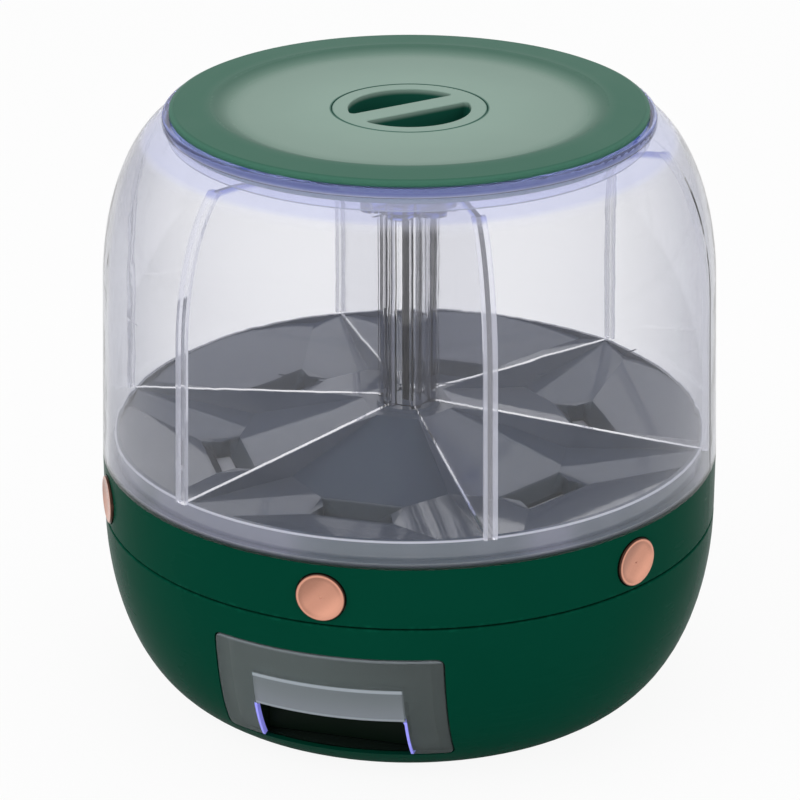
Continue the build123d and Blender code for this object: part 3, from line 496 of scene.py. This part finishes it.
def smoke_front_paint(look):
    """Smoky clear front; the pocket moulded behind it is lighter, its edges carry painted highlights, the
    drawer behind the finger opening is painted shade, and the cut edges have a painted violet glow.
    """
    paint = Paint("smoke_front")
    x = paint.along("X")
    height = paint.along("Z")
    cloud = paint.noise(40.0)
    bowl_low, bowl_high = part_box("base_bowl")
    front_low, front_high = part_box("drawer_front")
    pull_top = front_low.z + look.pull_rise
    pocket_top = pull_top + look.pocket_rise
    drop = (bowl_high.z - height) / (bowl_high.z - bowl_low.z)
    side = look.bowl_bottom + (bowl_high.x - look.bowl_bottom) * (1 - drop * drop) ** 0.5
    depth = (side - paint.radius()) / look.wall
    behind = depth.rise(1.1, 1.3)
    low = 1 - height.rise(pull_top - 0.0008, pull_top + 0.0002)
    across = 1 - abs(x).rise(look.pull_half, look.pull_half + 0.0006)
    on_panel = across * (1 - behind)
    bar = height.band(pull_top, pocket_top, SOFT_LINE) * on_panel
    ledge = height.band(pocket_top, pocket_top + look.pocket_wall, SOFT_LINE) * on_panel
    sill = height.band(pull_top, pull_top + 0.0014, SHARP_LINE) * on_panel
    crown = height.rise(front_high.z - 0.0016, front_high.z - 0.0008)
    cut = abs(x).band(look.pull_half - 0.0004, look.pull_half + 0.0013, SHARP_LINE) * low * (1 - behind)
    # Painted light and shade: a little lighter low down, and darker toward the right
    base = paint.mix(height.rise(*FRONT_LIGHT_RISE), times(look.body, 1.1), look.body)
    base = paint.mix(x.rise(*FRONT_SHADE_RUN) * 0.6, base, times(look.body, 0.5))
    base = paint.mix(behind, base, look.pocket)
    base = paint.mix(bar * (1 - height.rise(pull_top, pocket_top) * 0.45), base, look.pocket)
    # Painted highlights along the pocket's ledge, the opening's sill and the front's top edge
    edge_highlights = (ledge * 0.8).larger(sill * 0.6).larger(crown * 0.5)
    base = paint.mix(edge_highlights, base, times(look.pocket, 1.9))
    base = paint.mix(behind * low, base, look.shade)
    base = paint.mix(cut, base, look.edge)
    cover = (bar * 0.4).larger(ledge * 0.5).larger(cut).larger(behind * low)
    sockets = {
        "Base Color": base,
        "Roughness": look.roughness + 0.05 * cloud,
        "Alpha": look.cover + (1 - look.cover) * cover,
        # Painted glow: the cut edges give off violet light of their own
        "Emission Color": paint.mix(cut, (0.0, 0.0, 0.0), look.edge),
        "Emission Strength": 0.35,
        "Normal": paint.bump(cloud, 0.03, 0.001),
    }
    return paint.finish(paint.skin(sockets))


def smoke_box_paint(look):
    """The drawer's tray, in darker shade behind the front."""
    paint = Paint("smoke_tray")
    height = paint.along("Z")
    cloud = paint.noise(40.0)
    pull_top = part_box("drawer_front")[0].z + look.pull_rise
    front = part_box("drawer_box")[0].y
    face = 1 - paint.along("Y").rise(front + 0.0005, front + 0.001)
    across = 1 - abs(paint.along("X")).rise(look.pull_half, look.pull_half + 0.001)
    dark = (1 - height.rise(pull_top - 0.001, pull_top)) * face * across
    base = paint.mix(cloud * 0.5, look.body, times(look.body, 0.8))
    base = paint.mix(dark, base, look.shade)
    sockets = {
        "Base Color": base,
        "Roughness": 0.35 + 0.10 * cloud,
        "Specular IOR Level": 0.1,
        "Alpha": 0.55 + 0.45 * dark,
        "Normal": paint.bump(cloud, 0.03, 0.001),
    }
    return paint.finish(paint.skin(sockets))


def grey_paint(name, look, shade):
    """One shade of the moulded plastic inside."""
    paint = Paint(name)
    cloud = paint.noise(30.0)
    base = paint.mix(cloud * 0.4, shade, times(shade, 0.8))
    return paint.finish(grey_skin(paint, look, base, cloud))


def hopper_paint(look):
    """Grey with painted shade down the wells and toward the outer wall, and a lighter rim behind the clear
    wall with a painted highlight along its top.
    """
    paint = Paint("hopper_grey")
    height = paint.along("Z")
    radius = paint.radius()
    cloud = paint.noise(30.0)
    ring_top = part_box("button_ring")[1].z
    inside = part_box("hopper")[1].x - look.rim_reach
    base = paint.mix(cloud * 0.4, look.face, times(look.face, 0.8))
    # Painted shade: the funnels darken toward the outer wall
    base = paint.mix(radius.rise(*FUNNEL_SHADE_FADE) * 0.4, base, times(look.face, 0.6))
    above = height.rise(ring_top + 0.0004, ring_top + 0.0022)
    rim_top = ring_top + look.rim_rise
    patch = paint.noise(17.0, 1.0, squeeze=0.2).rise(0.44, 0.62)
    rim = paint.mix(patch * 0.8, look.rim, look.rim_shade)
    # Painted highlight along the top of the rim
    rim = paint.mix(height.rise(rim_top - 0.0010, rim_top - 0.0005), rim, look.rim_highlight)
    base = paint.mix(radius.rise(inside, inside + 0.001), base, rim)
    # Painted shade: below the button ring the wells take a dark grey
    well = paint.skin({"Base Color": flat(look.deep), "Roughness": 0.5, "Specular IOR Level": 0.2})
    face = grey_skin(paint, look, base, cloud)
    return paint.finish(paint.veil(above, well, face))


def grey_skin(paint, look, base, cloud):
    """Shiny moulded grey, very slightly wavy."""
    sockets = {
        "Base Color": base,
        "Roughness": look.roughness + 0.08 * (cloud - 0.5),
        "Specular IOR Level": 1.0,
        "Normal": paint.bump(paint.noise(90.0), 0.05, 0.001),
    }
    return paint.skin(sockets)


def copper_paint(look):
    """Metallised buttons, with painted shade and highlight across their dish, a painted highlight on its
    rim and painted shade in the gap round their edge.
    """
    paint = Paint("rose_copper")
    cloud = paint.noise(60.0)
    fine = paint.noise(900.0, 4.0)
    low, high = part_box("button_1")
    across = paint.sideways(0.5)
    up = paint.along("Z") - (low.z + high.z) / 2
    reach = (across * across + up * up) ** 0.5
    upper_left_shade = (up - across) / look.dish
    lower_right_highlight = (across - up) / look.dish
    base = paint.mix(cloud * 0.4, look.body, times(look.body, 0.86))
    # Painted shade on the dish's inner slope
    base = paint.mix(reach.rise(look.dish - 0.0022, look.dish) * 0.55, base, times(look.body, 0.62))
    # Painted shade on the upper left of the dish and painted highlight on its lower right
    base = paint.mix(upper_left_shade.rise(0.2, 1.1) * 0.6, base, times(look.body, 0.5))
    base = paint.mix(lower_right_highlight.rise(0.2, 1.1) * 0.6, base, times(look.body, 1.4))
    # Painted highlight on the dish's rim
    base = paint.mix(reach.rise(look.dish, look.dish + SOFT_LINE), base, times(look.body, 1.12))
    # Painted shade in the gap round the button's edge
    base = paint.mix(reach.rise(look.face - 0.0009, look.face - 0.0003), base, times(look.body, 0.12))
    sockets = {
        "Base Color": base,
        "Metallic": 0.9,
        "Roughness": look.roughness + 0.08 * (cloud - 0.5) + 0.05 * fine,
        "Normal": paint.bump(fine, 0.04, FINE_DEPTH),
    }
    return paint.finish(paint.skin(sockets))


def steel_paint(name, shade, roughness):
    """Brushed steel of the springs, screws, balls and rod."""
    paint = Paint(name)
    brushed = paint.noise(500.0, 3.0, squeeze=30.0)
    sockets = {
        "Base Color": paint.mix(brushed, shade, times(shade, 0.75)),
        "Metallic": 1.0,
        "Roughness": roughness + 0.12 * (brushed - 0.5),
        "Normal": paint.bump(brushed, 0.06, FINE_DEPTH),
    }
    return paint.finish(paint.skin(sockets))


def soft_paint(name, shade, roughness):
    """Matt silicone and rubber."""
    paint = Paint(name)
    cloud = paint.noise(45.0)
    grain = paint.noise(1400.0, 3.0)
    sockets = {
        "Base Color": paint.mix(cloud * 0.5, shade, times(shade, 0.82)),
        "Roughness": roughness + 0.10 * (cloud - 0.5),
        "Specular IOR Level": 0.3,
        "Normal": paint.bump(grain, 0.04, GRAIN_DEPTH),
    }
    return paint.finish(paint.skin(sockets))


def dress(material, *nodes):
    for node in nodes:
        mesh = frame["nodes"][node].data
        mesh.materials.clear()
        mesh.materials.append(material)


def numbered(stem):
    return [f"{stem}_{k}" for k in COMPARTMENTS]


# Shapes grown by node trees


def shape_tree(name, inputs):
    tree = bpy.data.node_groups.new(name, "GeometryNodeTree")
    tree.interface.new_socket("Geometry", in_out="OUTPUT", socket_type="NodeSocketGeometry")
    for label, kind in inputs.items():
        tree.interface.new_socket(label, in_out="INPUT", socket_type=kind)
    graph = Graph(tree)
    entry = tree.nodes.new("NodeGroupInput")
    given = {label: Field(graph, entry.outputs[label]) for label in inputs}
    return graph, given


def end_tree(graph, shape, material):
    smooth = graph.node("GeometryNodeSetShadeSmooth", None, {"Geometry": shape})
    whole = graph.node("GeometryNodeRealizeInstances", None, {"Geometry": smooth})
    painted = graph.node("GeometryNodeSetMaterial", None, {"Geometry": whole, "Material": material})
    graph.node("NodeGroupOutput", None, {0: painted})
    return graph.tree


def grown(name, tree, values):
    """Runs a shape tree with these inputs and keeps its result as a plain mesh."""
    holder = bpy.data.objects.new(name, bpy.data.meshes.new(name))
    bpy.context.scene.collection.objects.link(holder)
    modifier = holder.modifiers.new("shape", "NODES")
    modifier.node_group = tree
    for item in tree.interface.items_tree:
        if item.item_type == "SOCKET" and item.in_out == "INPUT":
            modifier[item.identifier] = values[item.name]
    seen = bpy.context.evaluated_depsgraph_get()
    mesh = bpy.data.meshes.new_from_object(holder.evaluated_get(seen), depsgraph=seen)
    holder.modifiers.clear()
    holder.data = mesh
    return holder


def spring_tree():
    """A compression spring: free turns between two closed end turns, along one radius."""
    graph, given = shape_tree(
        "coil_spring",
        {
            "Turn": "NodeSocketFloat",
            "Inner end": "NodeSocketFloat",
            "Height": "NodeSocketFloat",
            "Length": "NodeSocketFloat",
            "Coil radius": "NodeSocketFloat",
            "Wire": "NodeSocketFloat",
            "Turns": "NodeSocketFloat",
            "Material": "NodeSocketMaterial",
        },
    )

    def coil(turns, rise, start):
        line = graph.node(
            "GeometryNodeCurveSpiral",
            None,
            {
                "Resolution": 20,
                "Rotations": turns,
                "Start Radius": given["Coil radius"],
                "End Radius": given["Coil radius"],
                "Height": rise,
            },
        )
        place = graph.node("ShaderNodeCombineXYZ", None, {"Z": start})
        return graph.node("GeometryNodeTransform", None, {"Geometry": line, "Translation": place})

    wire = given["Wire"]
    lines = tree_join(
        graph,
        [
            coil(1.0, wire, wire * 0.5),
            coil(given["Turns"], given["Length"] - wire * 3.0, wire * 1.5),
            coil(1.0, wire, given["Length"] - wire * 1.5),
        ],
    )
    round_wire = {"Resolution": 8, "Radius": wire * 0.5}
    section = graph.node("GeometryNodeCurvePrimitiveCircle", None, round_wire)
    sweep = {"Curve": lines, "Profile Curve": section, "Fill Caps": True}
    tube = graph.node("GeometryNodeCurveToMesh", None, sweep)
    turn = given["Turn"]
    lean = graph.node("ShaderNodeCombineXYZ", None, {"Y": math.pi / 2, "Z": turn})
    at = graph.node(
        "ShaderNodeCombineXYZ",
        None,
        {
            "X": turn.math("COSINE", turn) * given["Inner end"],
            "Y": turn.math("SINE", turn) * given["Inner end"],
            "Z": given["Height"],
        },
    )
    moved = {"Geometry": tube, "Rotation": lean, "Translation": at}
    turned = graph.node("GeometryNodeTransform", None, moved)
    return end_tree(graph, turned, given["Material"])


def tree_join(graph, shapes):
    joined = graph.tree.nodes.new("GeometryNodeJoinGeometry")
    for shape in shapes:
        graph.tree.links.new(shape.socket, joined.inputs[0])
    return Field(graph, joined.outputs[0])


# Operators


class DISPENSER_OT_lid(bpy.types.Operator):
    """Gives the lid, its grip and its seal their finishes"""

    bl_idname = "dispenser.lid"
    bl_label = "Lid"

    def execute(self, context):
        dress(lid_paint(context.scene.lid_finish), "lid", "grip_cap")
        dress(soft_paint("seal_silicone", (0.62, 0.63, 0.64), 0.55), "lid_seal")
        return {"FINISHED"}


class DISPENSER_OT_clear_bin(bpy.types.Operator):
    """Gives the domed bin, the dividers and the column their clear plastic"""

    bl_idname = "dispenser.clear_bin"
    bl_label = "Clear bin"

    def execute(self, context):
        look = context.scene.clear_finish
        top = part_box("bin_shell")[1].z
        dress(shell_paint(look, top - look.rim_depth), "bin_shell")
        soft_edge = times(look.edge, 0.5, 0.5)
        dress(divider_paint(look, soft_edge, top - look.crown_depth), *numbered("divider"))
        dress(clear_paint("clear_column", look, look.bead, top), "centre_column")
        dress(clear_paint("clear_nut", look, look.edge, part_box("tie_nut")[0].z), "tie_nut")
        dress(steel_paint("dark_rod", (0.10, 0.10, 0.11), 0.4), "tie_rod")
        return {"FINISHED"}


class DISPENSER_OT_hopper(bpy.types.Operator):
    """Gives the hopper floor and the plastic pieces inside their finishes"""

    bl_idname = "dispenser.hopper"
    bl_label = "Hopper"

    def execute(self, context):
        look = context.scene.hopper_finish
        dress(hopper_paint(look), "hopper")
        inner = grey_paint("inner_grey", look, look.inner)
        dress(inner, "turntable_plate", "deck", *numbered("spout"))
        # The sleeve takes a near-black grey as painted shade behind the finger opening
        dress(grey_paint("dark_sleeve", look, look.dark), "drawer_sleeve")
        dress(grey_paint("pale_slide_plastic", look, look.slide), "bearing_cage", *numbered("gate"))
        return {"FINISHED"}


class DISPENSER_OT_body(bpy.types.Operator):
    """Gives the button ring, the bowl and the feet their finishes"""

    bl_idname = "dispenser.body"
    bl_label = "Ring and bowl"

    def execute(self, context):
        dress(green_paint(context.scene.green_finish), "button_ring", "base_bowl")
        dress(soft_paint("foot_rubber", (0.02, 0.02, 0.021), 0.7), "feet")
        return {"FINISHED"}


class DISPENSER_OT_buttons(bpy.types.Operator):
    """Gives the push buttons their copper and winds a return spring behind each"""

    bl_idname = "dispenser.buttons"
    bl_label = "Buttons and springs"

    def execute(self, context):
        dress(copper_paint(context.scene.copper_finish), *numbered("button"))
        sizes = context.scene.spring_sizes
        steel = steel_paint("spring_steel", (0.55, 0.55, 0.57), 0.3)
        tree = spring_tree()
        low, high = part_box("spring_1")
        reach = high.y - low.y
        presses = [joint for joint in frame["joints"] if joint["name"].startswith("button")]
        travel = {joint["name"]: joint["range_m"][1] for joint in presses}
        for k in COMPARTMENTS:
            turn = FRONT_TURN + (k - 1) * SECTOR
            outward = Vector((math.cos(turn), math.sin(turn), 0.0))
            inner = outward * -high.y
            inner.z = (low.z + high.z) / 2
            values = {
                "Turn": turn,
                "Inner end": -high.y,
                "Height": inner.z,
                "Length": reach,
                "Coil radius": (high.x - low.x - sizes.wire) / 2,
                "Wire": sizes.wire,
                "Turns": float(sizes.turns),
                "Material": steel,
            }
            spring = grown(f"coil_{k}", tree, values)
            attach(spring, "bin")
            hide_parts(f"spring_{k}")
            keep = 1 - travel[f"button_{k}_press"] / reach
            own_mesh(spring)
        return {"FINISHED"}


class DISPENSER_OT_drawer(bpy.types.Operator):
    """Gives the drawer its smoky plastic"""

    bl_idname = "dispenser.drawer"
    bl_label = "Drawer"

    def execute(self, context):
        look = context.scene.smoke_finish
        dress(smoke_front_paint(look), "drawer_front")
        dress(smoke_box_paint(look), "drawer_box")
        return {"FINISHED"}


class DISPENSER_OT_bearing(bpy.types.Operator):
    """Gives the balls and the screws their steel"""

    bl_idname = "dispenser.bearing"
    bl_label = "Bearing and screws"

    def execute(self, context):
        dress(
            steel_paint("screw_steel", (0.52, 0.52, 0.54), 0.35),
            "plate_screws",
            "deck_screws",
            "sleeve_screws",
            "pivot_washer",
            "pivot_screw",
            "bearing_balls",
        )
        return {"FINISHED"}


class DISPENSER_OT_stage(bpy.types.Operator):
    """Makes the floor, the soft light and the camera"""

    bl_idname = "dispenser.stage"
    bl_label = "Stage"

    def execute(self, context):
        settings = context.scene.stage_settings
        self.make_floor(context, settings)
        self.make_world(context, settings)
        self.make_lights(context)
        self.make_camera(context, settings)
        context.scene.view_settings.view_transform = "Standard"
        return {"FINISHED"}

    def seen(self, graph):
        """1 for what the eye sees directly or through the clear plastic."""
        direct = graph.node("ShaderNodeLightPath", out="Is Camera Ray")
        return direct.larger(graph.node("ShaderNodeLightPath", out="Is Transmission Ray"))

    def make_floor(self, context, settings):
        bpy.ops.mesh.primitive_circle_add(vertices=96, radius=FLOOR_RADIUS, fill_type="NGON")
        floor = context.object
        floor.name = "studio_floor"
        paint = Paint("pale_floor")
        lit = paint.node("ShaderNodeBsdfDiffuse", None, {"Color": flat([settings.floor] * 3)})
        glow = paint.node("ShaderNodeEmission", None, {"Color": flat((1.0, 1.0, 1.0)), "Strength": 1.0})
        pale = paint.veil(self.seen(paint) * FLOOR_WHITE, lit, glow)
        away = paint.node("ShaderNodeBsdfTransparent")
        paint.finish(paint.veil(paint.radius().rise(*FLOOR_FADE), pale, away))
        floor.data.materials.append(paint.material)

    def make_world(self, context, settings):
        world = bpy.data.worlds.new("studio")
        world.use_nodes = True
        world.node_tree.nodes.clear()
        context.scene.world = world
        graph = Graph(world.node_tree)
        pure = flat((1.0, 1.0, 1.0))
        soft, dim, white = (
            graph.node("ShaderNodeBackground", None, {"Color": pure, "Strength": strength})
            for strength in (settings.world, settings.reflection, 1.0)
        )
        direction = graph.node("ShaderNodeTexCoord", out="Generated")
        key, fill, back = (
            graph.vector("DOT_PRODUCT", direction, toward, out="Value").rise(*GLOW_SPREAD) * strength
            for toward, strength in GLOWS
        )
        mirrored = graph.veil(key.larger(fill).larger(back), dim, white)
        glossy = graph.node("ShaderNodeLightPath", out="Is Glossy Ray")
        unseen = graph.veil(glossy, soft, mirrored)
        whole = graph.veil(self.seen(graph), unseen, white)
        graph.node("ShaderNodeOutputWorld", None, {"Surface": whole})

    def make_lights(self, context):
        for name, place, size, power in LAMPS:
            data = bpy.data.lights.new(name, "AREA")
            data.shape = "SQUARE"
            data.size = size
            data.energy = power
            lamp = bpy.data.objects.new(name, data)
            context.scene.collection.objects.link(lamp)
            lamp.location = place
            lamp.visible_glossy = False
            lamp.visible_transmission = False
            aim = Vector(LAMP_AIM) - lamp.location
            lamp.rotation_euler = aim.to_track_quat("-Z", "Y").to_euler()

    def make_camera(self, context, settings):
        turn = math.radians(settings.azimuth)
        rise = math.radians(settings.elevation)
        level = math.cos(rise)
        back = Vector((math.sin(turn) * level, -math.cos(turn) * level, math.sin(rise)))
        aim = Vector((0.0, 0.0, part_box("button_ring")[1].z))
        data = bpy.data.cameras.new("photo_camera")
        data.sensor_width = SENSOR_WIDTH
        data.lens = settings.lens
        data.shift_x, data.shift_y = FRAME_SHIFT
        camera = bpy.data.objects.new("photo_camera", data)
        context.scene.collection.objects.link(camera)
        camera.location = aim + back * settings.distance
        camera.rotation_euler = (-back).to_track_quat("-Z", "Y").to_euler()
        context.scene.camera = camera


class DISPENSER_PT_panel(bpy.types.Panel):
    """Lists the dispenser's groups of pieces"""

    bl_idname = "DISPENSER_PT_panel"
    bl_label = "Grain dispenser"
    bl_space_type = "VIEW_3D"
    bl_region_type = "UI"
    bl_category = "Dispenser"

    def draw(self, context):
        for operator in OPERATORS:
            self.layout.operator(operator.bl_idname)


GROUPS = {
    "lid_finish": LidFinish,
    "green_finish": GreenFinish,
    "clear_finish": ClearFinish,
    "smoke_finish": SmokeFinish,
    "hopper_finish": HopperFinish,
    "copper_finish": CopperFinish,
    "spring_sizes": SpringSizes,
    "stage_settings": StageSettings,
}
OPERATORS = (
    DISPENSER_OT_lid,
    DISPENSER_OT_clear_bin,
    DISPENSER_OT_hopper,
    DISPENSER_OT_body,
    DISPENSER_OT_buttons,
    DISPENSER_OT_drawer,
    DISPENSER_OT_bearing,
    DISPENSER_OT_stage,
)


def register():
    for group in GROUPS.values():
        bpy.utils.register_class(group)
    for name, group in GROUPS.items():
        setattr(bpy.types.Scene, name, PointerProperty(type=group))
    for operator in OPERATORS:
        bpy.utils.register_class(operator)
    bpy.utils.register_class(DISPENSER_PT_panel)


def unregister():
    bpy.utils.unregister_class(DISPENSER_PT_panel)
    for operator in reversed(OPERATORS):
        bpy.utils.unregister_class(operator)
    for name in GROUPS:
        delattr(bpy.types.Scene, name)
    for group in reversed(GROUPS.values()):
        bpy.utils.unregister_class(group)


def main():
    register()
    bpy.ops.dispenser.lid()
    bpy.ops.dispenser.clear_bin()
    bpy.ops.dispenser.hopper()
    bpy.ops.dispenser.body()
    bpy.ops.dispenser.buttons()
    bpy.ops.dispenser.drawer()
    bpy.ops.dispenser.bearing()
    bpy.ops.dispenser.stage()


if __name__ == "__main__":
    main()
